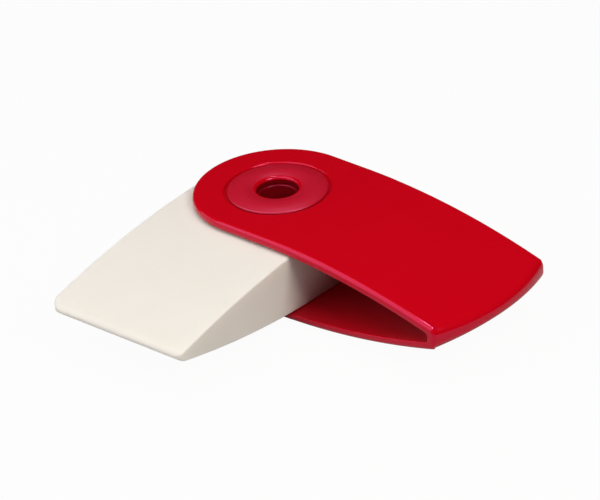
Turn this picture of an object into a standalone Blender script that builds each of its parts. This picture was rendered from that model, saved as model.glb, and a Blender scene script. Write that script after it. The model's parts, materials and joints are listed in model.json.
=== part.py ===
"""Pocket eraser whose block swings out of a moulded sleeve on a hollow, snap-together hub.

Every piece is modelled around the pivot, in metres: Z is the pivot axis, +X runs along the sleeve towards
its closed far end, and z = 0 is the mid-plane that the faces mirror about. An empty on the pivot carries the
pieces and stands them on the ground, with the middle of their bounding box over the origin.
"""

import math

import bmesh
import bpy
from mathutils import Vector

MM = 0.001

# Sleeve: two wings that meet in a closed wall at the far end
ROUND_END_RADIUS = 12.5 * MM
SLEEVE_REACH = 41.2 * MM  # pivot axis to the middle of the far end
FAR_END_WIDTH = 24.05 * MM  # where the straight sides meet the end arc
FAR_CORNER_RADIUS = 0.75 * MM
SLEEVE_THICKNESS = 12.2 * MM  # over the flat faces round the pivot
SLEEVE_FLAT_REACH = 5.9 * MM  # pivot axis to where the faces start to fall away
FAR_END_THICKNESS = 1.85 * MM
SLEEVE_EDGE_RADIUS = 0.5 * MM
WING_WALL = 1.04 * MM  # round the pivot
FAR_WING_WALL = 1.3 * MM  # where the pocket ends
END_WALL = 1.6 * MM
POCKET_NOSE_GAP = 0.14 * MM  # pocket's blunt end over and under the block's tip
POCKET_NOSE_RADIUS = 0.45 * MM

# Eraser block
BLOCK_WIDTH = 25.4 * MM
TIP_GAP = 0.86 * MM  # between the path of the tip's corners and the pocket's end
BLOCK_FLAT_REACH = 2.2 * MM
TIP_THICKNESS = 1.15 * MM
TIP_CORNER_RADIUS = 2.0 * MM
BLOCK_EDGE_RADIUS = 0.4 * MM
FACE_GAP = 0.12 * MM  # between the block's flat faces and the wings
SWEEP_GAP = 0.1 * MM  # between the block's path and the relief it runs in
SWING_ANGLE = math.radians(-88.0)  # block out of the sleeve, as it is stored

# Hub: a socket half and a spigot half, snapped together through the block
HOLE_RADIUS = 3.15 * MM  # mouth of the hole through the hub
HOLE_RIM_RADIUS = 0.45 * MM
BORE_RADIUS = 2.7 * MM  # inside the spigot
SPIGOT_WALL = 0.7 * MM
SOCKET_WALL = 0.95 * MM
SNAP_GAP = 0.15 * MM  # socket round the spigot, and lip above its tip
SNAP_BEAD_HEIGHT = 0.3 * MM
SNAP_BEAD_LENGTH = 1.2 * MM
SNAP_BEAD_DROP = 1.5 * MM  # spigot's tip down to the middle of its bead
LIP_THICKNESS = 0.8 * MM
RUNNING_GAP = 0.3 * MM  # hub tube inside the block's bore and the wings' holes
FLANGE_RADIUS = 7.65 * MM
FLANGE_CROWN = 0.18 * MM  # bulge of the flange's face between its rims
FLANGE_SINK = 0.02 * MM  # crest of that bulge below the wing's face
RECESS_DEPTH = 0.6 * MM
RECESS_GAP = 0.2 * MM  # round the flange
SEAT_GAP = 0.12 * MM  # under the flange, and at the end of the socket's tube

# Facets
ROUND_STEPS = 40
CORNER_STEPS = 6
EDGE_STEPS = 3
CROWN_STEPS = 14
TURN_STEPS = 48
SHARP_ANGLE = math.radians(35.0)
CUT_MARGIN = 2.0 * MM  # how far a cutter runs past what it cuts

# Sizes that follow from those above
SLEEVE_HALF = SLEEVE_THICKNESS / 2
BLOCK_HALF = SLEEVE_HALF - WING_WALL - FACE_GAP
BLOCK_HALF_WIDTH = BLOCK_WIDTH / 2
POCKET_REACH = SLEEVE_REACH - END_WALL
BLOCK_REACH = math.sqrt((POCKET_REACH - TIP_GAP) ** 2 - BLOCK_HALF_WIDTH**2)  # pivot axis to the tip
SPIGOT_RADIUS = BORE_RADIUS + SPIGOT_WALL
SOCKET_RADIUS = SPIGOT_RADIUS + SNAP_GAP
TUBE_RADIUS = SOCKET_RADIUS + SOCKET_WALL
PIVOT_BORE_RADIUS = TUBE_RADIUS + RUNNING_GAP
RECESS_RADIUS = FLANGE_RADIUS + RECESS_GAP
FLANGE_SEAT = SLEEVE_HALF - RECESS_DEPTH + SEAT_GAP  # inner face of a flange, from the mid-plane
FLANGE_CREST = SLEEVE_HALF - FLANGE_SINK
LIP_SEAT = FLANGE_CREST - LIP_THICKNESS  # underside of the lip that stops the spigot
SPIGOT_TIP = LIP_SEAT - SNAP_GAP
SNAP_CENTRE = SPIGOT_TIP - SNAP_BEAD_DROP

# Finishes: colour as linear red, green and blue, then roughness
RED_GLOSS = ((0.48, 0.001, 0.008), 0.2)
RED_MATTE = ((0.45, 0.008, 0.02), 0.45)
WHITE_VINYL = ((0.83, 0.80, 0.74), 0.65)


def arc_fall(x, start, end, fall):
    """Drop at x of a circular arc that leaves a level line at start and is down by fall at end."""
    span = end - start
    radius = (span * span + fall * fall) / (2 * fall)
    run = max(x - start, 0.0)
    return radius - math.sqrt(radius * radius - run * run)


def sleeve_half_height(x):
    """Outside of a wing above the mid-plane."""
    fall = SLEEVE_HALF - FAR_END_THICKNESS / 2
    return SLEEVE_HALF - arc_fall(x, SLEEVE_FLAT_REACH, SLEEVE_REACH, fall)


def pocket_half_height(x):
    """Inside of a wing above the mid-plane: the wall thickens towards the pocket's blunt closed end."""
    share = max(x - SLEEVE_FLAT_REACH, 0.0) / (POCKET_REACH - SLEEVE_FLAT_REACH)
    wall = WING_WALL + (FAR_WING_WALL - WING_WALL) * share
    return max(sleeve_half_height(x) - wall, TIP_THICKNESS / 2 + POCKET_NOSE_GAP)


def block_half_height(x):
    """Face of the block above the mid-plane."""
    return BLOCK_HALF - arc_fall(x, BLOCK_FLAT_REACH, BLOCK_REACH, BLOCK_HALF - TIP_THICKNESS / 2)


def arc(centre, radius, start, end, steps):
    """Points along a circular arc, with both of its ends."""
    angles = [start + (end - start) * step / steps for step in range(steps + 1)]
    return [(centre[0] + radius * math.cos(a), centre[1] + radius * math.sin(a)) for a in angles]


def sleeve_outline():
    """Plan of the sleeve: a round end, sides tangent to it, and an end arc centred on the pivot."""
    side_angle = math.asin(FAR_END_WIDTH / 2 / SLEEVE_REACH) + math.acos(ROUND_END_RADIUS / SLEEVE_REACH)
    reach = SLEEVE_REACH - FAR_CORNER_RADIUS
    corner_angle = side_angle - math.acos((ROUND_END_RADIUS - FAR_CORNER_RADIUS) / reach)
    corner = (reach * math.cos(corner_angle), reach * math.sin(corner_angle))
    far_end = arc((0, 0), SLEEVE_REACH, -corner_angle, corner_angle, CROWN_STEPS)
    left_corner = arc(corner, FAR_CORNER_RADIUS, corner_angle, side_angle, CORNER_STEPS)
    round_end = arc((0, 0), ROUND_END_RADIUS, side_angle, 2 * math.pi - side_angle, ROUND_STEPS)
    right_corner = [(x, -y) for x, y in reversed(left_corner)]
    return far_end + left_corner[1:] + round_end + right_corner[:-1]


def block_outline():
    """Plan of the block: a round end about the pivot, straight sides and a straight tip."""
    corner_x = BLOCK_REACH - TIP_CORNER_RADIUS
    corner_y = BLOCK_HALF_WIDTH - TIP_CORNER_RADIUS
    left_corner = arc((corner_x, corner_y), TIP_CORNER_RADIUS, 0, math.pi / 2, CORNER_STEPS)
    round_end = arc((0, 0), BLOCK_HALF_WIDTH, math.pi / 2, 1.5 * math.pi, ROUND_STEPS)
    right_corner = [(x, -y) for x, y in reversed(left_corner)]
    return left_corner + round_end + right_corner


def pocket_outline():
    """Plan of the space between the wings: open on three sides, ended by an arc inside the end wall."""
    half_width = ROUND_END_RADIUS + CUT_MARGIN
    end_angle = math.asin(half_width / POCKET_REACH)
    far_end = arc((0, 0), POCKET_REACH, -end_angle, end_angle, CROWN_STEPS)
    return far_end + [(-half_width, half_width), (-half_width, -half_width)]


def new_piece(name, bm, pivot):
    """Object carried by the pivot, with smooth faces between its sharp edges."""
    bmesh.ops.recalc_face_normals(bm, faces=bm.faces)
    mesh = bpy.data.meshes.new(name)
    bm.to_mesh(mesh)
    bm.free()
    mesh.shade_smooth()
    mesh.set_sharp_from_angle(angle=SHARP_ANGLE)
    piece = bpy.data.objects.new(name, mesh)
    bpy.context.collection.objects.link(piece)
    piece.parent = pivot
    return piece


def crowned_slab(name, outline, half_height, flat_reach, reach, edge_radius, pivot):
    """Slab with a plan outline and rounded edges; its faces follow half_height(x) between the two reaches."""
    level = half_height(0.0)
    bm = bmesh.new()
    base = bm.faces.new([bm.verts.new((x, y, -level)) for x, y in outline])
    raised = bmesh.ops.extrude_face_region(bm, geom=[base])["geom"]
    top_verts = [item for item in raised if isinstance(item, bmesh.types.BMVert)]
    bmesh.ops.translate(bm, vec=(0, 0, 2 * level), verts=top_verts)
    rims = [edge for edge in bm.edges if edge.verts[0].co.z == edge.verts[1].co.z]
    bmesh.ops.bevel(bm, geom=rims, offset=edge_radius, segments=EDGE_STEPS, profile=0.5, affect="EDGES")
    for step in range(CROWN_STEPS):
        everything = bm.verts[:] + bm.edges[:] + bm.faces[:]
        station = flat_reach + (reach - flat_reach) * step / CROWN_STEPS
        bmesh.ops.bisect_plane(bm, geom=everything, plane_co=(station, 0, 0), plane_no=(1, 0, 0))
    for vert in bm.verts:
        vert.co.z -= math.copysign(level - half_height(vert.co.x), vert.co.z)
    return new_piece(name, bm, pivot)


def turned(name, profile, pivot, closed=True):
    """Profile of (radius, height) points turned about the pivot axis; an open one starts and ends on it."""
    bm = bmesh.new()
    verts = [bm.verts.new((radius, 0, height)) for radius, height in profile]
    edges = [bm.edges.new(pair) for pair in zip(verts, verts[1:])]
    if closed:
        edges.append(bm.edges.new((verts[-1], verts[0])))
    bmesh.ops.spin(
        bm,
        geom=verts + edges,
        cent=(0, 0, 0),
        axis=(0, 0, 1),
        angle=2 * math.pi,
        steps=TURN_STEPS,
        use_merge=True,
    )
    bmesh.ops.remove_doubles(bm, verts=bm.verts, dist=0.001 * MM)
    return new_piece(name, bm, pivot)


def cut(piece, cutter):
    """Take a cutter out of a piece, and leave the cutter as a hidden wire guide."""
    boolean = piece.modifiers.new(cutter.name, "BOOLEAN")
    boolean.operation = "DIFFERENCE"
    boolean.object = cutter
    cutter.hide_render = True
    cutter.display_type = "WIRE"


def sweep_profile():
    """Half section of the room that the block takes up as it swings right round, with its gap."""
    stations = [BLOCK_REACH * step / CROWN_STEPS for step in range(CROWN_STEPS + 1)]
    upper = [(0, BLOCK_HALF + SWEEP_GAP)]
    upper += [(math.hypot(x, BLOCK_HALF_WIDTH), block_half_height(x) + SWEEP_GAP) for x in stations]
    return upper + [(radius, -height) for radius, height in reversed(upper)]


def hub_seat_profile():
    """Half section of what both wings lose to the hub: a hole, with a recess for a flange at each end."""
    past = SLEEVE_HALF + CUT_MARGIN
    floor = SLEEVE_HALF - RECESS_DEPTH
    upper = [(0, past), (RECESS_RADIUS, past), (RECESS_RADIUS, floor), (PIVOT_BORE_RADIUS, floor)]
    return upper + [(radius, -height) for radius, height in reversed(upper)]


def flange_face():
    """Upper face of a flange from the hole's rounded mouth over its bulge to its outer rim."""
    rim_height = FLANGE_CREST - FLANGE_CROWN
    rim_centre = (HOLE_RADIUS + HOLE_RIM_RADIUS, rim_height - HOLE_RIM_RADIUS)
    mouth = arc(rim_centre, HOLE_RIM_RADIUS, math.pi, math.pi / 2, CORNER_STEPS // 2)
    half_width = (FLANGE_RADIUS - rim_centre[0]) / 2
    offsets = [2 * step / CORNER_STEPS - 1 for step in range(1, CORNER_STEPS + 1)]
    middle = rim_centre[0] + half_width
    return mouth + [(middle + t * half_width, FLANGE_CREST - FLANGE_CROWN * t * t) for t in offsets]


def snap_ridge(radius, clearance):
    """Bead round the spigot, or the groove that takes it, from its upper end to its lower one."""
    outer = radius + SNAP_BEAD_HEIGHT
    base = SNAP_BEAD_LENGTH / 2 + clearance
    flat = base - SNAP_BEAD_HEIGHT
    heights = [(radius, base), (outer, flat), (outer, -flat), (radius, -base)]
    return [(r, SNAP_CENTRE + height) for r, height in heights]


def socket_profile():
    """Half section of the upper hub half: flange, tube, snap groove and the lip over the spigot's tip."""
    tube_end = SEAT_GAP - FLANGE_SEAT
    outside = [(FLANGE_RADIUS, FLANGE_SEAT), (TUBE_RADIUS, FLANGE_SEAT), (TUBE_RADIUS, tube_end)]
    groove = list(reversed(snap_ridge(SOCKET_RADIUS, SNAP_GAP)))
    lip = [(SOCKET_RADIUS, LIP_SEAT), (HOLE_RADIUS, LIP_SEAT)]
    return flange_face() + outside + [(SOCKET_RADIUS, tube_end)] + groove + lip


def spigot_profile():
    """Half section of the lower hub half: the same flange upside down, and a beaded tube up to the lip."""
    face = [(radius, -height) for radius, height in flange_face()]
    outside = [(FLANGE_RADIUS, -FLANGE_SEAT), (SPIGOT_RADIUS, -FLANGE_SEAT)]
    bead = list(reversed(snap_ridge(SPIGOT_RADIUS, 0.0)))
    tip = [(SPIGOT_RADIUS, SPIGOT_TIP), (BORE_RADIUS, SPIGOT_TIP), (BORE_RADIUS, -FLANGE_SEAT)]
    return face + outside + bead + tip


def paint(piece, finish):
    """Give a piece its own material."""
    colour, roughness = finish
    material = bpy.data.materials.new(piece.name)
    material.use_nodes = True
    shader = material.node_tree.nodes["Principled BSDF"]
    shader.inputs["Base Color"].default_value = (*colour, 1.0)
    shader.inputs["Roughness"].default_value = roughness
    shader.inputs["Metallic"].default_value = 0.0
    piece.data.materials.append(material)


def make_sleeve(pivot):
    """One moulding, open on both long sides and round the pivot."""
    sleeve = crowned_slab(
        "sleeve",
        sleeve_outline(),
        sleeve_half_height,
        SLEEVE_FLAT_REACH,
        SLEEVE_REACH,
        SLEEVE_EDGE_RADIUS,
        pivot,
    )
    pocket = crowned_slab(
        "pocket_cutter",
        pocket_outline(),
        pocket_half_height,
        SLEEVE_FLAT_REACH,
        POCKET_REACH,
        POCKET_NOSE_RADIUS,
        pivot,
    )
    cut(sleeve, pocket)
    cut(sleeve, turned("sweep_cutter", sweep_profile(), pivot, closed=False))
    cut(sleeve, turned("hub_seat_cutter", hub_seat_profile(), pivot, closed=False))
    paint(sleeve, RED_GLOSS)
    return sleeve


def make_block(pivot):
    """Soft block that turns on the hub."""
    block = crowned_slab(
        "eraser_block",
        block_outline(),
        block_half_height,
        BLOCK_FLAT_REACH,
        BLOCK_REACH,
        BLOCK_EDGE_RADIUS,
        pivot,
    )
    past = SLEEVE_HALF + CUT_MARGIN
    bore = [(0, past), (PIVOT_BORE_RADIUS, past), (PIVOT_BORE_RADIUS, -past), (0, -past)]
    cut(block, turned("bore_cutter", bore, pivot, closed=False))
    block.rotation_euler.z = SWING_ANGLE
    paint(block, WHITE_VINYL)
    return block


def make_hub(pivot):
    """Both halves of the hub, which the sleeve carries."""
    socket = turned("hub_socket", socket_profile(), pivot)
    spigot = turned("hub_spigot", spigot_profile(), pivot)
    for half in (socket, spigot):
        paint(half, RED_MATTE)
    return [socket, spigot]


def stand_on_ground(pivot, pieces):
    """Move the pivot until the pieces stand on z = 0, their bounding box centred over the origin."""
    bpy.context.view_layer.update()
    graph = bpy.context.evaluated_depsgraph_get()
    points = []
    for piece in pieces:
        shown = piece.evaluated_get(graph)
        points += [shown.matrix_world @ vert.co for vert in shown.to_mesh().vertices]
        shown.to_mesh_clear()
    low = Vector([min(point[i] for point in points) for i in range(3)])
    high = Vector([max(point[i] for point in points) for i in range(3)])
    pivot.location -= Vector(((low.x + high.x) / 2, (low.y + high.y) / 2, low.z))
    bpy.context.view_layer.update()
    print("pivot at", [round(value, 6) for value in pivot.location])
    print("size", [round(value, 6) for value in high - low])


def main():
    """Build the pieces on the pivot."""
    for leftover in list(bpy.data.objects):
        bpy.data.objects.remove(leftover)
    pivot = bpy.data.objects.new("pivot", None)
    bpy.context.collection.objects.link(pivot)
    pieces = [make_sleeve(pivot), make_block(pivot), *make_hub(pivot)]
    stand_on_ground(pivot, pieces)


main()
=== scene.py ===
"""Dressed model of a pocket eraser: a white block that swings out of a red sleeve on a hollow hub.

Sizes are in millimetres about the pivot, as in the solids: X runs along the sleeve towards its closed end,
Z is the pivot axis, and z = 0 is half way through the thickness. Meshes turn them to metres.
"""

import json
import logging
import math
from collections.abc import Sequence
from dataclasses import dataclass, field
from enum import Enum
from typing import Any

import bmesh
import bpy
from mathutils import Matrix, Vector

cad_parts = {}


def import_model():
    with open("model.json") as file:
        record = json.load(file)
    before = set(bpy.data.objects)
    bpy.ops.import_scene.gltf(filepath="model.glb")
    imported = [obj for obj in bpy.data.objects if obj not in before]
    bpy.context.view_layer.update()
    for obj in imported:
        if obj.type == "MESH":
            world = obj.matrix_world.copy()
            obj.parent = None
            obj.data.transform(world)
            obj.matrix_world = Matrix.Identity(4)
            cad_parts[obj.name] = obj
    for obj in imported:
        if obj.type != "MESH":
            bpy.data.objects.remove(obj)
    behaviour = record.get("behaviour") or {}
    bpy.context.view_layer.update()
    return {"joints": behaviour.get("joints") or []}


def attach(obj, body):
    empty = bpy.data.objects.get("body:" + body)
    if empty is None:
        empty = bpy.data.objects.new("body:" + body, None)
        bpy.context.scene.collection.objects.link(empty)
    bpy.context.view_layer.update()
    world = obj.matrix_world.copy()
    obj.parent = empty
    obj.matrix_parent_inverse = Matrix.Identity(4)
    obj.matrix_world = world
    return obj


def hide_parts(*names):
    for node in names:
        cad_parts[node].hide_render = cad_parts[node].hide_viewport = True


MM = 0.001
MERGE_GAP = 0.0004  # millimetres within which two points are one
EDGE_MARGIN = 0.05  # millimetres from an edge to the ring that keeps the shading beside it crisp
ANGLE_SLACK = 1e-7  # radians within which two directions are one
QUARTER_TURN = math.pi / 2
SHARP_EDGE = math.radians(38.0)

# Sockets of a colour Mix node, whose names also stand for its sockets of other types
MIX_SHARE, MIX_FIRST, MIX_SECOND, MIX_RESULT = 0, 6, 7, 2

LOG = logging.getLogger("pocket_eraser")

Point = tuple[float, float, float]
Ring = list[Point]
Section = list[tuple[float, float]]


@dataclass(frozen=True)
class Strip:
    """Run of closed rings, with the same number of points in each, that one finish covers."""

    rings: list[Ring]
    finish: int = 0

    def mirrored(self) -> "Strip":
        """Copy the strip to the other side of the mid-plane."""
        return Strip([[(x, y, -z) for x, y, z in ring] for ring in self.rings], self.finish)


class Body(Enum):
    """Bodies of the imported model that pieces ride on."""

    SLEEVE = "sleeve"
    ERASER = "eraser"


class HubHalf(Enum):
    """Halves of the snap hub, by the node that each one stands for."""

    SOCKET = "hub_socket"
    SPIGOT = "hub_spigot"


def linear(colour: str) -> tuple[float, float, float, float]:
    """Turn an sRGB hex colour into linear values.

    Args:
        colour: Six hex digits after a hash sign.

    Returns:
        Red, green, blue and an alpha of one.
    """
    channels = [int(colour[i : i + 2], 16) / 255 for i in (1, 3, 5)]
    red, green, blue = (c / 12.92 if c <= 0.04045 else ((c + 0.055) / 1.055) ** 2.4 for c in channels)
    return red, green, blue, 1.0


def add_node(
    tree: bpy.types.NodeTree,
    kind: str,
    inputs: dict[str | int, Any] | None = None,
    **settings: Any,
) -> bpy.types.Node:
    """Add a node to a tree with its settings and links.

    Args:
        tree: Node tree of a material or world.
        kind: Blender's name for the type of node.
        inputs: For each input's name or number, the socket that feeds it or the value it holds.
        settings: Properties of the node itself.

    Returns:
        The new node.
    """
    node = tree.nodes.new(kind)
    for name, value in settings.items():
        setattr(node, name, value)
    for key, value in (inputs or {}).items():
        if isinstance(value, bpy.types.NodeSocket):
            tree.links.new(value, node.inputs[key])
        else:
            node.inputs[key].default_value = value
    return node


def empty_material(name: str) -> bpy.types.Material:
    """Make a material whose node tree is empty."""
    material = bpy.data.materials.new(name)
    material.use_nodes = True
    material.node_tree.nodes.clear()
    return material


def leaning_gloss(tree: bpy.types.NodeTree, level: float, edge_level: float) -> bpy.types.NodeSocket:
    """Weaken a gloss where a face is seen edge on, as a skin that is not quite smooth does.

    Args:
        tree: Node tree of the material.
        level: Level of the gloss face on, where a half is that of a clear skin.
        edge_level: Level of the gloss at the edge.

    Returns:
        The level for the face as it is seen.
    """
    lean = add_node(tree, "ShaderNodeLayerWeight", {"Blend": 0.5}).outputs["Facing"]
    faded = add_node(tree, "ShaderNodeMapRange", {"Value": lean, "To Min": level, "To Max": edge_level})
    return faded.outputs["Result"]


def spread(start: float, end: float, steps: int) -> list[float]:
    """Divide a range evenly.

    Args:
        start: First value.
        end: Last value.
        steps: Number of equal steps between them.

    Returns:
        Values with both ends.
    """
    return [start + (end - start) * step / steps for step in range(steps + 1)]


def skin(name: str, strips: Sequence[Strip], place: Matrix) -> bpy.types.Object:
    """Cover strips of rings with quads and make one smooth-shaded object of them.

    Args:
        name: Name of the object and its mesh.
        strips: The strips, in millimetres.
        place: Where the piece's own axes stand in the model.

    Returns:
        The object, linked to the scene.
    """
    bm = bmesh.new()
    for strip in strips:
        rows = [[bm.verts.new([MM * value for value in point]) for point in ring] for ring in strip.rings]
        for row, following in zip(rows, rows[1:]):
            for i in range(len(row)):
                j = (i + 1) % len(row)
                face = bm.faces.new((row[i], row[j], following[j], following[i]))
                face.material_index = strip.finish
    bmesh.ops.remove_doubles(bm, verts=bm.verts, dist=MERGE_GAP * MM)
    bmesh.ops.recalc_face_normals(bm, faces=bm.faces)
    mesh = bpy.data.meshes.new(name)
    bm.to_mesh(mesh)
    bm.free()
    mesh.shade_smooth()
    mesh.set_sharp_from_angle(angle=SHARP_EDGE)
    piece = bpy.data.objects.new(name, mesh)
    bpy.context.scene.collection.objects.link(piece)
    piece.matrix_world = place
    return piece


def turned_rings(section: Section, segments: int) -> list[Ring]:
    """Turn a section about the pivot axis.

    Args:
        section: Pairs of radius and height.
        segments: Points round each ring.

    Returns:
        One ring for each pair.
    """
    angles = [2 * math.pi * i / segments for i in range(segments)]
    return [[(r * math.cos(a), r * math.sin(a), z) for a in angles] for r, z in section]


def corner(centre: tuple[float, float], radius: float, start: float, end: float, steps: int) -> Section:
    """Round a corner of a section.

    Args:
        centre: Radius and height of the middle of the rounding.
        radius: Radius of the rounding.
        start: Direction of its first point from the middle, in degrees.
        end: Direction of its last point.
        steps: Facets along it.

    Returns:
        Pairs of radius and height.
    """
    angles = [math.radians(angle) for angle in spread(start, end, steps)]
    return [(centre[0] + radius * math.cos(a), centre[1] + radius * math.sin(a)) for a in angles]


@dataclass(frozen=True)
class Crown:
    """Face that is level round the pivot and then falls along an arc to the thin end."""

    height: float
    level_reach: float
    reach: float
    end_height: float

    def at(self, x: float) -> float:
        """Give the face's height over the mid-plane at x."""
        span = self.reach - self.level_reach
        fall = self.height - self.end_height
        radius = (span * span + fall * fall) / (2 * fall)
        run = max(x - self.level_reach, 0.0)
        return self.height - radius + math.sqrt(radius * radius - run * run)


BLOCK_CROWN = Crown(height=4.94, level_reach=2.2, reach=36.599, end_height=0.575)


@dataclass(frozen=True)
class Edge:
    """Point on a plan outline with the direction that faces out of it."""

    x: float
    y: float
    out_x: float
    out_y: float

    def inset(self, depth: float) -> tuple[float, float]:
        """Give the plan point that lies a depth inside the outline."""
        return self.x - depth * self.out_x, self.y - depth * self.out_y


def arc_edges(centre: tuple[float, float], radius: float, angles: Sequence[float]) -> list[Edge]:
    """Lay outline points along an arc.

    Args:
        centre: Plan point in the middle of the arc.
        radius: Radius of the arc.
        angles: Directions from the middle, in radians.

    Returns:
        Points that face away from the middle.
    """
    return [
        Edge(centre[0] + radius * math.cos(a), centre[1] + radius * math.sin(a), math.cos(a), math.sin(a))
        for a in angles
    ]


def crowned_rings(
    crown: Crown,
    edges: Sequence[Edge],
    start: float,
    sizes: Sequence[tuple[float, float]],
    face_steps: int,
    edge_steps: int,
) -> list[Ring]:
    """Lay a crowned face from a circle round the pivot to the outline, with a rounded edge.

    Args:
        crown: Heights of the face.
        edges: The outline.
        start: Radius of the circle.
        sizes: Inset and drop of the rounded edge at each outline point.
        face_steps: Even steps over the face, which closer ones at both of its edges add to.
        edge_steps: Facets over the rounded edge.

    Returns:
        Rings with one point for each outline point.
    """
    rings = []
    for share in [0.004, 0.015, *spread(0.04, 0.96, face_steps), 0.985, 1.0]:
        ring = []
        for edge, (inset, _) in zip(edges, sizes):
            angle = math.atan2(edge.y, edge.x)
            near_x, near_y = start * math.cos(angle), start * math.sin(angle)
            far_x, far_y = edge.inset(inset)
            x, y = near_x + (far_x - near_x) * share, near_y + (far_y - near_y) * share
            ring.append((x, y, crown.at(x)))
        rings.append(ring)
    for angle in spread(0, QUARTER_TURN, edge_steps)[1:]:
        ring = []
        for edge, (inset, drop) in zip(edges, sizes):
            x, y = edge.inset(inset * (1 - math.sin(angle)))
            ring.append((x, y, crown.at(x) - drop * (1 - math.cos(angle))))
        rings.append(ring)
    return rings


@dataclass(frozen=True)
class SmoothAbs:
    """ABS moulded in a polished die: a deep even red under a clear gloss.

    The die leaves a skin that mirrors lamps and floor with soft edges. A long, very shallow ripple stands
    where the plastic shrank, and handling has dulled the gloss a little in patches. A die that was only
    ground leaves the same skin satin.
    """

    name: str = "abs_polished_die_red"
    colour: str = "#C60317"
    deep_colour: str = "#C00215"
    gloss_tint: str = "#FF90DC"
    ior: float = 1.53
    gloss: float = 0.7
    edge_gloss: float = 0.24
    roughness: float = 0.11
    dull_roughness: float = 0.17
    ripple_size: float = 4.0
    ripple_depth: float = 0.0015
    patch_size: float = 9.0
    patch_range: tuple[float, float] = (0.4, 0.75)  # noise from clear to dull
    pigment_size: float = 6.0

    def material(self) -> bpy.types.Material:
        """Make the material.

        Returns:
            A material in the piece's own coordinates.
        """
        made = empty_material(self.name)
        tree = made.node_tree
        where = add_node(tree, "ShaderNodeTexCoord").outputs["Object"]
        pigment = add_node(
            tree,
            "ShaderNodeTexNoise",
            {"Vector": where, "Scale": 1 / (self.pigment_size * MM), "Detail": 3.0},
        )
        colour = add_node(
            tree,
            "ShaderNodeMix",
            {
                MIX_SHARE: pigment.outputs["Fac"],
                MIX_FIRST: linear(self.deep_colour),
                MIX_SECOND: linear(self.colour),
            },
            data_type="RGBA",
        )
        patches = add_node(
            tree, "ShaderNodeTexNoise", {"Vector": where, "Scale": 1 / (self.patch_size * MM), "Detail": 5.0}
        )
        gloss = add_node(
            tree,
            "ShaderNodeMapRange",
            {
                "Value": patches.outputs["Fac"],
                "From Min": self.patch_range[0],
                "From Max": self.patch_range[1],
                "To Min": self.roughness,
                "To Max": self.dull_roughness,
            },
        )
        ripple = add_node(
            tree, "ShaderNodeTexNoise", {"Vector": where, "Scale": 1 / (self.ripple_size * MM), "Detail": 1.0}
        )
        relief = add_node(
            tree,
            "ShaderNodeBump",
            {"Height": ripple.outputs["Fac"], "Distance": self.ripple_depth * MM, "Strength": 1.0},
        )
        shader = add_node(
            tree,
            "ShaderNodeBsdfPrincipled",
            {
                "Base Color": colour.outputs[MIX_RESULT],
                "Roughness": gloss.outputs["Result"],
                "IOR": self.ior,
                "Specular IOR Level": leaning_gloss(tree, self.gloss, self.edge_gloss),
                "Specular Tint": linear(self.gloss_tint),
                "Normal": relief.outputs["Normal"],
            },
        )
        add_node(tree, "ShaderNodeOutputMaterial", {"Surface": shader.outputs["BSDF"]})
        return made


@dataclass(frozen=True)
class TexturedAbs:
    """ABS moulded in a spark-eroded die: the same red, frosted.

    Fine pits scatter the lamps, so that the face turns pink where it leans towards them and shows no mirror
    image. The pits are drawn several times coarser than the real ones, which would not show.
    """

    name: str = "abs_spark_eroded_red"
    colour: str = "#BA0D24"
    worn_colour: str = "#BE122A"
    gloss_tint: str = "#FF9CD4"
    ior: float = 1.6
    gloss: float = 1.0
    edge_gloss: float = 0.5
    roughness: float = 0.42
    worn_roughness: float = 0.35
    pit_size: float = 0.22
    pit_depth: float = 0.02
    patch_size: float = 2.5
    patch_range: tuple[float, float] = (0.35, 0.7)  # noise from fresh to worn

    def material(self) -> bpy.types.Material:
        """Make the material.

        Returns:
            A material in the piece's own coordinates.
        """
        made = empty_material(self.name)
        tree = made.node_tree
        where = add_node(tree, "ShaderNodeTexCoord").outputs["Object"]
        patches = add_node(
            tree, "ShaderNodeTexNoise", {"Vector": where, "Scale": 1 / (self.patch_size * MM), "Detail": 6.0}
        )
        wear = add_node(
            tree,
            "ShaderNodeMapRange",
            {
                "Value": patches.outputs["Fac"],
                "From Min": self.patch_range[0],
                "From Max": self.patch_range[1],
            },
        )
        colour = add_node(
            tree,
            "ShaderNodeMix",
            {
                MIX_SHARE: wear.outputs["Result"],
                MIX_FIRST: linear(self.colour),
                MIX_SECOND: linear(self.worn_colour),
            },
            data_type="RGBA",
        )
        frost = add_node(
            tree,
            "ShaderNodeMapRange",
            {"Value": wear.outputs["Result"], "To Min": self.roughness, "To Max": self.worn_roughness},
        )
        pits = add_node(
            tree, "ShaderNodeTexNoise", {"Vector": where, "Scale": 1 / (self.pit_size * MM), "Detail": 2.0}
        )
        relief = add_node(
            tree,
            "ShaderNodeBump",
            {"Height": pits.outputs["Fac"], "Distance": self.pit_depth * MM, "Strength": 1.0},
        )
        shader = add_node(
            tree,
            "ShaderNodeBsdfPrincipled",
            {
                "Base Color": colour.outputs[MIX_RESULT],
                "Roughness": frost.outputs["Result"],
                "IOR": self.ior,
                "Specular IOR Level": leaning_gloss(tree, self.gloss, self.edge_gloss),
                "Specular Tint": linear(self.gloss_tint),
                "Normal": relief.outputs["Normal"],
            },
        )
        add_node(tree, "ShaderNodeOutputMaterial", {"Surface": shader.outputs["BSDF"]})
        return made


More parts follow.
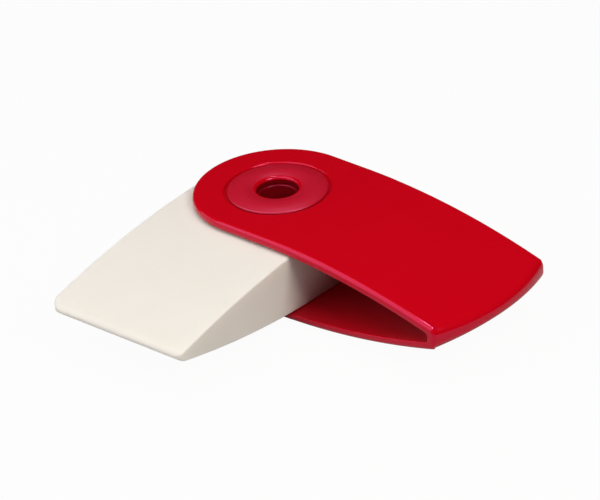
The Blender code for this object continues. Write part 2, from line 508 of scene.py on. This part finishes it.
@dataclass(frozen=True)
class SoftVinyl:
    """Plasticised vinyl, moulded and cut: a soft off-white that light sinks a little way into.

    The face is dull with a dry skin, faintly uneven in tone where filler has gathered, and its fine grain
    only shows where light grazes it.
    """

    name: str = "vinyl_moulded_white"
    colour: str = "#E7E3DC"
    filler_colour: str = "#E2DDD5"
    ior: float = 1.5
    gloss: float = 0.25
    roughness: float = 0.62
    smooth_roughness: float = 0.52
    light_depth: float = 1.6
    light_spread: Point = (1.0, 0.93, 0.86)  # shares of that depth for red, green and blue
    scatter_share: float = 0.7
    grain_size: float = 0.35
    grain_depth: float = 0.01
    cloud_size: float = 5.0
    cloud_range: tuple[float, float] = (0.3, 0.7)  # noise from dry to smooth

    def material(self) -> bpy.types.Material:
        """Make the material.

        Returns:
            A material in the piece's own coordinates.
        """
        made = empty_material(self.name)
        tree = made.node_tree
        where = add_node(tree, "ShaderNodeTexCoord").outputs["Object"]
        clouds = add_node(
            tree, "ShaderNodeTexNoise", {"Vector": where, "Scale": 1 / (self.cloud_size * MM), "Detail": 6.0}
        )
        colour = add_node(
            tree,
            "ShaderNodeMix",
            {
                MIX_SHARE: clouds.outputs["Fac"],
                MIX_FIRST: linear(self.filler_colour),
                MIX_SECOND: linear(self.colour),
            },
            data_type="RGBA",
        )
        skin_gloss = add_node(
            tree,
            "ShaderNodeMapRange",
            {
                "Value": clouds.outputs["Fac"],
                "From Min": self.cloud_range[0],
                "From Max": self.cloud_range[1],
                "To Min": self.roughness,
                "To Max": self.smooth_roughness,
            },
        )
        grain = add_node(
            tree, "ShaderNodeTexNoise", {"Vector": where, "Scale": 1 / (self.grain_size * MM), "Detail": 4.0}
        )
        relief = add_node(
            tree,
            "ShaderNodeBump",
            {"Height": grain.outputs["Fac"], "Distance": self.grain_depth * MM, "Strength": 1.0},
        )
        shader = add_node(
            tree,
            "ShaderNodeBsdfPrincipled",
            {
                "Base Color": colour.outputs[MIX_RESULT],
                "Roughness": skin_gloss.outputs["Result"],
                "IOR": self.ior,
                "Specular IOR Level": self.gloss,
                "Subsurface Weight": self.scatter_share,
                "Subsurface Radius": self.light_spread,
                "Subsurface Scale": self.light_depth * MM,
                "Normal": relief.outputs["Normal"],
            },
        )
        add_node(tree, "ShaderNodeOutputMaterial", {"Surface": shader.outputs["BSDF"]})
        return made


@dataclass(frozen=True)
class WhitePaper:
    """Matte pale background paper, white to the camera, that keeps part of the object's shadow.

    Its own pale grey sends only some of the light back up at the object. Glossy faces mirror it with more of
    the shadow, so that they darken where they look under the object.
    """

    name: str = "paper_white_matte"
    colour: str = "#BCBCBC"
    glow_share: float = 0.96
    mirror_share: float = 0.15

    def material(self) -> bpy.types.Material:
        """Make the material.

        Returns:
            A material that the camera sees as white, and mirror-like faces a little darker.
        """
        made = empty_material(self.name)
        tree = made.node_tree
        ray = add_node(tree, "ShaderNodeLightPath").outputs
        mirror = add_node(
            tree,
            "ShaderNodeMath",
            {0: ray["Is Glossy Ray"], 1: ray["Is Transmission Ray"]},
            operation="MAXIMUM",
        )
        mirrored = add_node(
            tree, "ShaderNodeMath", {0: mirror.outputs[0], 1: self.mirror_share}, operation="MULTIPLY"
        )
        share = add_node(
            tree,
            "ShaderNodeMath",
            {0: ray["Is Camera Ray"], 1: self.glow_share, 2: mirrored.outputs[0]},
            operation="MULTIPLY_ADD",
        )
        paper = add_node(tree, "ShaderNodeBsdfDiffuse", {"Color": linear(self.colour)})
        white = add_node(tree, "ShaderNodeEmission", {"Strength": 1.0})
        both = add_node(
            tree,
            "ShaderNodeMixShader",
            {0: share.outputs[0], 1: paper.outputs["BSDF"], 2: white.outputs["Emission"]},
        )
        add_node(tree, "ShaderNodeOutputMaterial", {"Surface": both.outputs["Shader"]})
        return made


def dress(
    piece: bpy.types.Object, materials: Sequence[bpy.types.Material], body: Body, node: str
) -> None:
    """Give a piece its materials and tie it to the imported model.

    Args:
        piece: The piece, in place.
        materials: Its finishes, in the order that its strips number them.
        body: The body that it moves with.
        node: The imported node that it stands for.
    """
    for material in materials:
        piece.data.materials.append(material)
    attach(piece, body.value)
    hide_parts(node)
    LOG.info("%s: %d faces, %s", piece.name, len(piece.data.polygons), [m.name for m in materials])


@dataclass
class Sleeve:
    """One moulding: two crowned wings that meet in a closed end, with a seat for the hub in each."""

    round_radius: float = 12.58
    end_width: float = 24.4
    end_bulge: float = 36.0
    end_lean: float = 0.6
    corner_radius: float = 0.65
    crown: Crown = Crown(height=6.2, level_reach=7.0, reach=41.5, end_height=0.925)
    edge_radius: float = 0.66
    end_edge_share: float = 0.78
    wall: float = 1.19
    far_wall: float = 1.3
    pocket_reach: float = 39.9
    pocket_end_height: float = 0.715
    pocket_nose: float = 0.6
    nose_power: float = 2.6
    nose_offsets: tuple[float, ...] = (0.0, 0.008, 0.03, 0.07, 0.13, 0.21, 0.31, 0.44, 0.6)
    inner_edge_radius: float = 0.14
    hole_radius: float = 4.8
    seat_radius: float = 7.9
    seat_depth: float = 0.4
    seat_edge_radius: float = 0.3
    block_crown: Crown = BLOCK_CROWN
    block_half_width: float = 12.7  # room for the widest block
    swing_gap: float = 0.04
    end_steps: int = 24
    corner_steps: int = 12
    closed_side_steps: int = 6
    nose_steps: int = 12
    open_side_steps: int = 64
    round_steps: int = 60
    face_steps: int = 44
    edge_steps: int = 10
    inner_edge_steps: int = 3
    inside_steps: int = 30
    seat_edge_steps: int = 4
    rim_shares: tuple[float, ...] = (0.06, 0.35, 0.65, 0.94, 1.0)
    finish: SmoothAbs = SmoothAbs()
    # Painted shade: the pocket's inner faces get a darker red than the outside, for the shade inside the
    # pocket; their satin roughness is real
    inner_painted_shade_finish: SmoothAbs = SmoothAbs(
        "abs_ground_core_red_painted_shade", "#B20210", "#AC020F", roughness=0.42, dull_roughness=0.55
    )
    side_angle: float = field(init=False)
    pocket_angle: float = field(init=False)

    def __post_init__(self) -> None:
        """Work out where the straight sides lie."""
        centre = self.crown.reach - self.end_bulge
        end_x = centre + math.sqrt(self.end_bulge**2 - (self.end_width / 2) ** 2)
        reach = math.hypot(end_x, self.end_width / 2)
        self.side_angle = math.atan2(self.end_width / 2, end_x) + math.acos(self.round_radius / reach)
        self.pocket_angle = self.side_angle - math.acos(self.round_radius / self.pocket_reach)

    def half_outline(self, lean: float) -> list[Edge]:
        """Lay out half of the plan: end arc, corner, straight side and round end.

        Args:
            lean: How far the middle of the end arc lies towards this side.

        Returns:
            Outline points, anticlockwise from the middle of the far end to that of the round end.
        """
        out = (math.cos(self.side_angle), math.sin(self.side_angle))
        bulge = (self.crown.reach - self.end_bulge, lean)
        inner_reach = self.end_bulge - self.corner_radius
        side_offset = self.round_radius - self.corner_radius - bulge[0] * out[0] - bulge[1] * out[1]
        corner_angle = self.side_angle - math.acos(side_offset / inner_reach)
        centre = (
            bulge[0] + inner_reach * math.cos(corner_angle),
            bulge[1] + inner_reach * math.sin(corner_angle),
        )
        end_angles = spread(-math.asin(lean / self.end_bulge), corner_angle, self.end_steps)
        corner_angles = spread(corner_angle, self.side_angle, self.corner_steps)
        half = arc_edges(bulge, self.end_bulge, end_angles)
        half += arc_edges(centre, self.corner_radius, corner_angles[1:])
        straight = centre[0] * out[1] - centre[1] * out[0]
        pocket = math.sqrt(self.pocket_reach**2 - self.round_radius**2)
        stations = spread(straight, pocket, self.closed_side_steps)[1:]
        stations += [pocket - self.pocket_nose * share**2 for share in spread(0, 1, self.nose_steps)[1:]]
        stations += spread(pocket - self.pocket_nose, 0, self.open_side_steps)[1:-1]
        for run in stations:
            x = self.round_radius * out[0] + run * out[1]
            y = self.round_radius * out[1] - run * out[0]
            half.append(Edge(x, y, *out))
        round_angles = spread(self.side_angle, math.pi, self.round_steps)
        return half + arc_edges((0, 0), self.round_radius, round_angles)

    def outline(self) -> list[Edge]:
        """Lay out the whole plan, anticlockwise from the middle of the far end."""
        other = self.half_outline(-self.end_lean)[1:-1]
        mirrored = [Edge(edge.x, -edge.y, edge.out_x, -edge.out_y) for edge in reversed(other)]
        return self.half_outline(self.end_lean) + mirrored

    def is_closed(self, edge: Edge) -> bool:
        """Tell whether the wings are joined behind this outline point."""
        return abs(math.atan2(edge.y, edge.x)) <= self.pocket_angle + ANGLE_SLACK

    def edge_size(self, edge: Edge) -> float:
        """Give the rounding of the outer edge, which is a share of the thickness along the far end."""
        if edge.x < self.round_radius:
            return self.edge_radius
        share = min(max(edge.out_x, 0.0) / math.cos(self.pocket_angle), 1.0)
        end_size = self.end_edge_share * self.crown.at(edge.x)
        return self.edge_radius + (end_size - self.edge_radius) * share

    def pocket(self, x: float, y: float) -> float:
        """Give the pocket's half height.

        Args:
            x: Plan position along the sleeve.
            y: Plan position across it.

        Returns:
            Height over the mid-plane, relieved for the block's swing and rounded off at the closed end.
        """
        radius = math.hypot(x, y)
        share = max(x - self.crown.level_reach, 0.0) / (self.pocket_reach - self.crown.level_reach)
        height = self.crown.at(x) - self.wall - (self.far_wall - self.wall) * share
        out = math.sqrt(max(radius**2 - self.block_half_width**2, 0.0))
        swept = self.block_crown.at(min(out, self.block_crown.reach)) + self.swing_gap
        height = max(height, swept if out < self.block_crown.reach else 0.0, self.pocket_end_height)
        nose = min(max(1 - (self.pocket_reach - radius) / self.pocket_nose, 0.0), 1.0)
        return height * (1 - nose**self.nose_power) ** (1 / self.nose_power)

    def wing(self) -> tuple[Strip, Strip]:
        """Lay the upper wing.

        Returns:
            A strip from the hub's hole over the outside to the rim, and one from the rim back inside.
        """
        edges = self.outline()
        start = self.seat_radius + self.seat_edge_radius
        sizes = [(size, size) for size in map(self.edge_size, edges)]
        face = crowned_rings(self.crown, edges, start, sizes, self.face_steps, self.edge_steps)
        outside = self.seat_rings(edges) + face + self.rim_rings(edges)
        return Strip(outside), Strip(self.inside_rings(edges), 1)

    def on_rays(self, edges: Sequence[Edge], radius: float, height: float) -> Ring:
        """Lay a level circle with one point for each outline point."""
        angles = [math.atan2(edge.y, edge.x) for edge in edges]
        return [(radius * math.cos(a), radius * math.sin(a), height) for a in angles]

    def seat_rings(self, edges: Sequence[Edge]) -> list[Ring]:
        """Lay the hub's hole and the recess that its flange lies in."""
        top = self.crown.height
        floor = top - self.seat_depth
        lip = self.seat_edge_radius
        hole, seat = self.hole_radius, self.seat_radius
        margin = 2 * EDGE_MARGIN
        section = [(hole, self.pocket(hole, 0.0)), (hole, floor), (hole + margin, floor)]
        section += [(seat - margin, floor), (seat, floor), (seat, floor + margin)]
        section += [(seat, top - lip - EDGE_MARGIN)]
        section += corner((seat + lip, top - lip), lip, 180, 90, self.seat_edge_steps)
        return [self.on_rays(edges, radius, height) for radius, height in section]

    def rim_rings(self, edges: Sequence[Edge]) -> list[Ring]:
        """Lay the rim's wall, from the rounded outer edge down, and its small inner rounding."""
        rings = []
        for share in self.rim_shares:
            ring = []
            for edge in edges:
                foot, lip = self.rim_foot(edge)
                top = self.crown.at(edge.x) - self.edge_size(edge)
                ring.append((edge.x, edge.y, top + (foot + lip - top) * share))
            rings.append(ring)
        for angle in spread(0, QUARTER_TURN, self.inner_edge_steps)[1:]:
            ring = []
            for edge in edges:
                foot, lip = self.rim_foot(edge)
                x, y = edge.inset(lip * (1 - math.cos(angle)))
                ring.append((x, y, foot + lip * (1 - math.sin(angle))))
            rings.append(ring)
        return rings

    def rim_foot(self, edge: Edge) -> tuple[float, float]:
        """Give the height at which the rim's wall ends, and the size of its inner rounding."""
        if self.is_closed(edge):
            return 0.0, 0.0
        foot = self.pocket(edge.x, edge.y)
        return foot, min(self.inner_edge_radius, foot / 3)

    def inside_rings(self, edges: Sequence[Edge]) -> list[Ring]:
        """Lay the inner face from the rim, or from the pocket's closed end, back to the hub's hole."""
        starts = []
        for edge in edges:
            if self.is_closed(edge):
                angle = math.atan2(edge.y, edge.x)
                starts.append((self.pocket_reach * math.cos(angle), self.pocket_reach * math.sin(angle)))
            else:
                starts.append(edge.inset(self.rim_foot(edge)[1]))
        steps = [(offset, 0.0) for offset in self.nose_offsets]
        steps += [(self.nose_offsets[-1], share) for share in spread(0, 1, self.inside_steps)[1:]]
        rings = []
        for offset, share in steps:
            ring = []
            for x, y in starts:
                radius = math.hypot(x, y)
                at = radius - offset
                at += (self.hole_radius - at) * share
                px, py = x * at / radius, y * at / radius
                ring.append((px, py, self.pocket(px, py)))
            rings.append(ring)
        return rings

    def build(self, place: Matrix) -> None:
        """Make the moulding and dress it.

        Args:
            place: Where the pivot stands in the model.
        """
        outside, inside = self.wing()
        piece = skin("sleeve_moulding", [outside, inside, outside.mirrored(), inside.mirrored()], place)
        finishes = [self.finish.material(), self.inner_painted_shade_finish.material()]
        dress(piece, finishes, Body.SLEEVE, "sleeve")


@dataclass
class EraserBlock:
    """Soft wedge-shaped block with a round end, bored for the hub."""

    crown: Crown = BLOCK_CROWN
    half_width: float = 12.55
    near_corner_radius: float = 1.05
    far_corner_radius: float = 2.2
    edge_radius: float = 0.22
    nose_reach: float = 1.0
    nose_drop: float = 0.5
    bore_radius: float = 4.8
    bore_edge_radius: float = 0.15
    swing: float = -88.0
    tip_steps: int = 16
    near_corner_steps: int = 12
    far_corner_steps: int = 16
    side_steps: int = 48
    round_steps: int = 80
    face_steps: int = 40
    edge_steps: int = 8
    bore_steps: int = 4
    bore_edge_steps: int = 4
    wall_shares: tuple[float, ...] = (0.06, 0.3, 0.6, 1.0)
    finish: SoftVinyl = SoftVinyl()

    def outline(self) -> list[Edge]:
        """Lay out the plan: straight tip, two worn corners, straight sides and a round end.

        Returns:
            Outline points, anticlockwise from the middle of the tip.
        """
        tip, half = self.crown.reach, self.half_width
        near, far = self.near_corner_radius, self.far_corner_radius
        near_angles = spread(0, QUARTER_TURN, self.near_corner_steps)
        round_angles = spread(QUARTER_TURN, 3 * QUARTER_TURN, self.round_steps)
        far_angles = spread(3 * QUARTER_TURN, 4 * QUARTER_TURN, self.far_corner_steps)
        edges = [Edge(tip, y, 1.0, 0.0) for y in spread(0, half - near, self.tip_steps)[:-1]]
        edges += arc_edges((tip - near, half - near), near, near_angles)
        edges += [Edge(x, half, 0.0, 1.0) for x in spread(tip - near, 0, self.side_steps)[1:-1]]
        edges += arc_edges((0, 0), half, round_angles)
        edges += [Edge(x, -half, 0.0, -1.0) for x in spread(0, tip - far, self.side_steps)[1:-1]]
        edges += arc_edges((tip - far, far - half), far, far_angles)
        edges += [Edge(tip, y, 1.0, 0.0) for y in spread(far - half, 0, self.tip_steps)[1:-1]]
        return edges

    def edge_size(self, edge: Edge) -> tuple[float, float]:
        """Give the inset and the drop of the rounded edge, which swells to a nose along the tip."""
        share = max(edge.out_x, 0.0) ** 2 if edge.x > 0 else 0.0
        return (
            self.edge_radius + (self.nose_reach - self.edge_radius) * share,
            self.edge_radius + (self.nose_drop - self.edge_radius) * share,
        )

    def upper_rings(self) -> list[Ring]:
        """Lay the rings of the upper half, from the bore over the face to the mid-plane.

        Returns:
            Rings with one point for each outline point.
        """
        edges = self.outline()
        rings = []
        lip = self.bore_edge_radius
        top = self.crown.height
        bore = [(self.bore_radius, z) for z in spread(0, top - lip - EDGE_MARGIN, self.bore_steps)]
        bore += corner((self.bore_radius + lip, top - lip), lip, 180, 90, self.bore_edge_steps)
        for radius, height in bore:
            ring = []
            for edge in edges:
                angle = math.atan2(edge.y, edge.x)
                x, y = radius * math.cos(angle), radius * math.sin(angle)
                ring.append((x, y, height - top + self.crown.at(x)))
            rings.append(ring)
        start = self.bore_radius + lip
        sizes = [self.edge_size(edge) for edge in edges]
        rings += crowned_rings(self.crown, edges, start, sizes, self.face_steps, self.edge_steps)
        for share in self.wall_shares:
            ring = []
            for edge, (_, drop) in zip(edges, sizes):
                ring.append((edge.x, edge.y, (self.crown.at(edge.x) - drop) * (1 - share)))
            rings.append(ring)
        return rings

    def build(self, place: Matrix) -> None:
        """Make the block, swung out of the sleeve, and dress it.

        Args:
            place: Where the pivot stands in the model.
        """
        upper = Strip(self.upper_rings())
        turn = Matrix.Rotation(math.radians(self.swing), 4, "Z")
        piece = skin("eraser_vinyl", [upper, upper.mirrored()], place @ turn)
        dress(piece, [self.finish.material()], Body.ERASER, "eraser_block")


@dataclass
class Hub:
    """Hollow hub of two flanged halves, one snapped into the other."""

    crest: float = 6.56
    crest_radius: float = 5.2
    flange_radius: float = 7.5
    flange_seat: float = 5.84
    inner_drop: float = 0.27
    outer_drop: float = 0.33
    rim_rounding: float = 0.3
    mouth_radius: float = 3.15
    mouth_rounding: float = 0.45
    bore_radius: float = 2.7
    spigot_radius: float = 3.4
    spigot_tip: float = 5.13
    socket_radius: float = 3.55
    tube_radius: float = 4.5
    lip_seat: float = 5.28
    tube_end: float = 5.5
    bead_centre: float = 3.63
    bead_height: float = 0.3
    bead_half_length: float = 0.6
    groove_gap: float = 0.15
    tip_rounding: float = 0.12
    segments: int = 168
    mouth_steps: int = 8
    face_steps: int = 24
    rim_steps: int = 6
    tip_steps: int = 4
    finish: TexturedAbs = TexturedAbs()
    mouth_finish: SmoothAbs = SmoothAbs("abs_polished_pin_red", roughness=0.16, dull_roughness=0.24)
    # Painted shade: the bore gets a much darker red than the hub, for the shade deep in the hole
    bore_painted_shade_finish: SmoothAbs = SmoothAbs(
        "abs_bore_red_painted_shade", "#760209", "#700208", roughness=0.3, dull_roughness=0.4
    )

    def mouth(self) -> Section:
        """Lay the rounded mouth of the hole, from the bore up to the flange's face."""
        height = self.crest - self.inner_drop - self.mouth_rounding
        centre = (self.mouth_radius + self.mouth_rounding, height)
        return corner(centre, self.mouth_rounding, 180, 90, self.mouth_steps)

    def face(self) -> Section:
        """Lay the flange's face, from the mouth over its crown and down its rounded rim.

        Returns:
            Pairs of radius and height.
        """
        inner = self.mouth_radius + self.mouth_rounding
        outer = self.flange_radius - self.rim_rounding
        section = []
        for radius in spread(inner, outer, self.face_steps):
            reach, drop = (inner, self.inner_drop) if radius < self.crest_radius else (outer, self.outer_drop)
            lean = (radius - self.crest_radius) / (reach - self.crest_radius)
            section.append((radius, self.crest - drop * lean**2))
        rim = (outer, section[-1][1] - self.rim_rounding)
        return section + corner(rim, self.rim_rounding, 90, 0, self.rim_steps)[1:]

    def ridge(self, radius: float, gap: float) -> Section:
        """Lay the snap bead on the spigot, or its groove in the socket, from bottom to top."""
        base = self.bead_half_length + gap
        flat = base - self.bead_height
        outer = radius + self.bead_height
        rises = [(radius, -base), (outer, -flat), (outer, flat), (radius, base)]
        return [(r, self.bead_centre + rise) for r, rise in rises]

    def inside(self, half: HubHalf) -> Section:
        """Lay what a half has between its flange's rim and the mouth of its hole.

        Args:
            half: Which half.

        Returns:
            Pairs of radius and height, as for a flange on the upper side.
        """
        section = [self.face()[-1], (self.flange_radius, self.flange_seat)]
        if half is HubHalf.SOCKET:
            section += [(self.tube_radius, self.flange_seat), (self.tube_radius, -self.tube_end)]
            section += [(self.socket_radius, -self.tube_end)]
            section += self.ridge(self.socket_radius, self.groove_gap)
            section += [(self.socket_radius, self.lip_seat), (self.mouth_radius, self.lip_seat)]
        else:
            section += [(self.spigot_radius, self.flange_seat)]
            section += [(radius, -height) for radius, height in self.ridge(self.spigot_radius, 0.0)]
            section += [(self.spigot_radius, -self.spigot_tip)]
            tip = (self.bore_radius + self.tip_rounding, self.tip_rounding - self.spigot_tip)
            section += corner(tip, self.tip_rounding, 270, 180, self.tip_steps)
            section += [(self.bore_radius, self.flange_seat)]
        return section + self.mouth()[:1]

    def build(self, place: Matrix) -> None:
        """Make both halves and dress them.

        Args:
            place: Where the pivot stands in the model.
        """
        finishes = [self.finish.material(), self.mouth_finish.material(), self.bore_painted_shade_finish.material()]
        for half in HubHalf:
            sections = (self.face(), self.mouth(), self.inside(half))
            strips = [Strip(turned_rings(part, self.segments), i) for i, part in enumerate(sections)]
            if half is HubHalf.SPIGOT:
                strips = [strip.mirrored() for strip in strips]
            piece = skin(f"{half.value}_half", strips, place)
            dress(piece, finishes, Body.SLEEVE, half.value)


@dataclass
class Stage:
    """Sheet of white paper that the object lies on, with its edge curled up a little."""

    level: float = -0.47  # just under the lower flange's crest
    middle: float = 0.01  # pinhole where the rings start
    flat_reach: float = 280.0
    reach: float = 320.0
    rise: float = 6.0
    segments: int = 96
    flat_steps: int = 6
    curl_steps: int = 8
    finish: WhitePaper = WhitePaper()

    def build(self) -> None:
        """Make the floor."""
        section = [(radius, self.level) for radius in spread(self.middle, self.flat_reach, self.flat_steps)]
        for share in spread(0, 1, self.curl_steps)[1:]:
            radius = self.flat_reach + (self.reach - self.flat_reach) * share
            section.append((radius, self.level + self.rise * share**2))
        floor = skin("paper_floor", [Strip(turned_rings(section, self.segments))], Matrix.Identity(4))
        floor.data.materials.append(self.finish.material())


@dataclass(frozen=True)
class Softbox:
    """Rectangular lamp that looks at the object."""

    name: str
    azimuth: float
    elevation: float
    distance: float
    width: float
    height: float
    white_share: float
    colour: str = "#FFFFFF"

    def build(self) -> None:
        """Hang the lamp, at a power that gives a facing white card its share of full white."""
        lamp = bpy.data.lights.new(self.name, "AREA")
        lamp.shape = "RECTANGLE"
        lamp.size = self.width * MM
        lamp.size_y = self.height * MM
        lamp.color = linear(self.colour)[:3]
        lamp.energy = self.white_share * (math.pi * self.distance * MM) ** 2
        carrier = bpy.data.objects.new(self.name, lamp)
        bpy.context.scene.collection.objects.link(carrier)
        around, up = math.radians(self.azimuth), math.radians(self.elevation)
        way = Vector((math.cos(up) * math.cos(around), math.cos(up) * math.sin(around), math.sin(up)))
        carrier.location = way * self.distance * MM
        carrier.rotation_euler = way.to_track_quat("Z", "Y").to_euler()


@dataclass
class StudioLight:
    """A close softbox over the front, a wider one on the left, two small lamps and a faint surround."""

    lamps: tuple[Softbox, ...] = (
        Softbox("main_softbox", -111.0, 57.5, 240.0, width=300.0, height=300.0, white_share=0.85),
        Softbox("left_softbox", -138.0, 16.0, 600.0, width=700.0, height=420.0, white_share=0.27),
        Softbox("top_lamp", 108.0, 74.5, 700.0, width=50.0, height=50.0, white_share=0.15),
        Softbox(
            "right_lamp", -4.0, 43.0, 270.0, width=130.0, height=120.0, white_share=0.57, colour="#FFF8F0"
        ),
    )
    surround: str = "#1E1E1E"

    def build(self) -> None:
        """Hang the lamps and set the world."""
        for lamp in self.lamps:
            lamp.build()
        world = bpy.data.worlds.new("studio_surround")
        world.use_nodes = True
        world.node_tree.nodes.clear()
        tree = world.node_tree
        sky = add_node(tree, "ShaderNodeBackground", {"Color": linear(self.surround), "Strength": 1.0})
        add_node(tree, "ShaderNodeOutputWorld", {"Surface": sky.outputs["Background"]})
        bpy.context.scene.world = world


@dataclass
class PhotoCamera:
    """Camera at the photograph's viewpoint."""

    heading: float = 43.46
    tilt: float = 29.82
    roll: float = 4.165
    distance: float = 423.15
    target: Point = (-6.832, 8.127, 6.1)
    lens: float = 174.527
    sensor: float = 36.0
    clip: tuple[float, float] = (10.0, 50000.0)

    def build(self) -> None:
        """Set up the camera as the scene's own."""
        data = bpy.data.cameras.new("photo_camera")
        data.lens = self.lens
        data.sensor_fit = "HORIZONTAL"
        data.sensor_width = self.sensor
        data.clip_start, data.clip_end = (limit * MM for limit in self.clip)
        camera = bpy.data.objects.new("photo_camera", data)
        bpy.context.scene.collection.objects.link(camera)
        turn = Matrix.Rotation(math.radians(self.heading), 3, "Z")
        turn = turn @ Matrix.Rotation(math.radians(90.0 - self.tilt), 3, "X")
        turn = turn @ Matrix.Rotation(math.radians(-self.roll), 3, "Z")
        back = turn @ Vector((0.0, 0.0, 1.0))
        stand = (Vector(self.target) + back * self.distance) * MM
        camera.matrix_world = Matrix.Translation(stand) @ turn.to_4x4()
        bpy.context.scene.camera = camera


def main() -> None:
    """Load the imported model, build each sub-assembly round its pivot and set up the studio."""
    logging.basicConfig(level=logging.INFO, format="%(name)s: %(message)s")
    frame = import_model()
    pivot = Matrix.Translation(frame["joints"][0]["pos_m"])
    Sleeve().build(pivot)
    EraserBlock().build(pivot)
    Hub().build(pivot)
    Stage().build()
    StudioLight().build()
    PhotoCamera().build()
    bpy.context.scene.view_settings.view_transform = "Standard"
    bpy.context.view_layer.update()


if __name__ == "__main__":
    main()
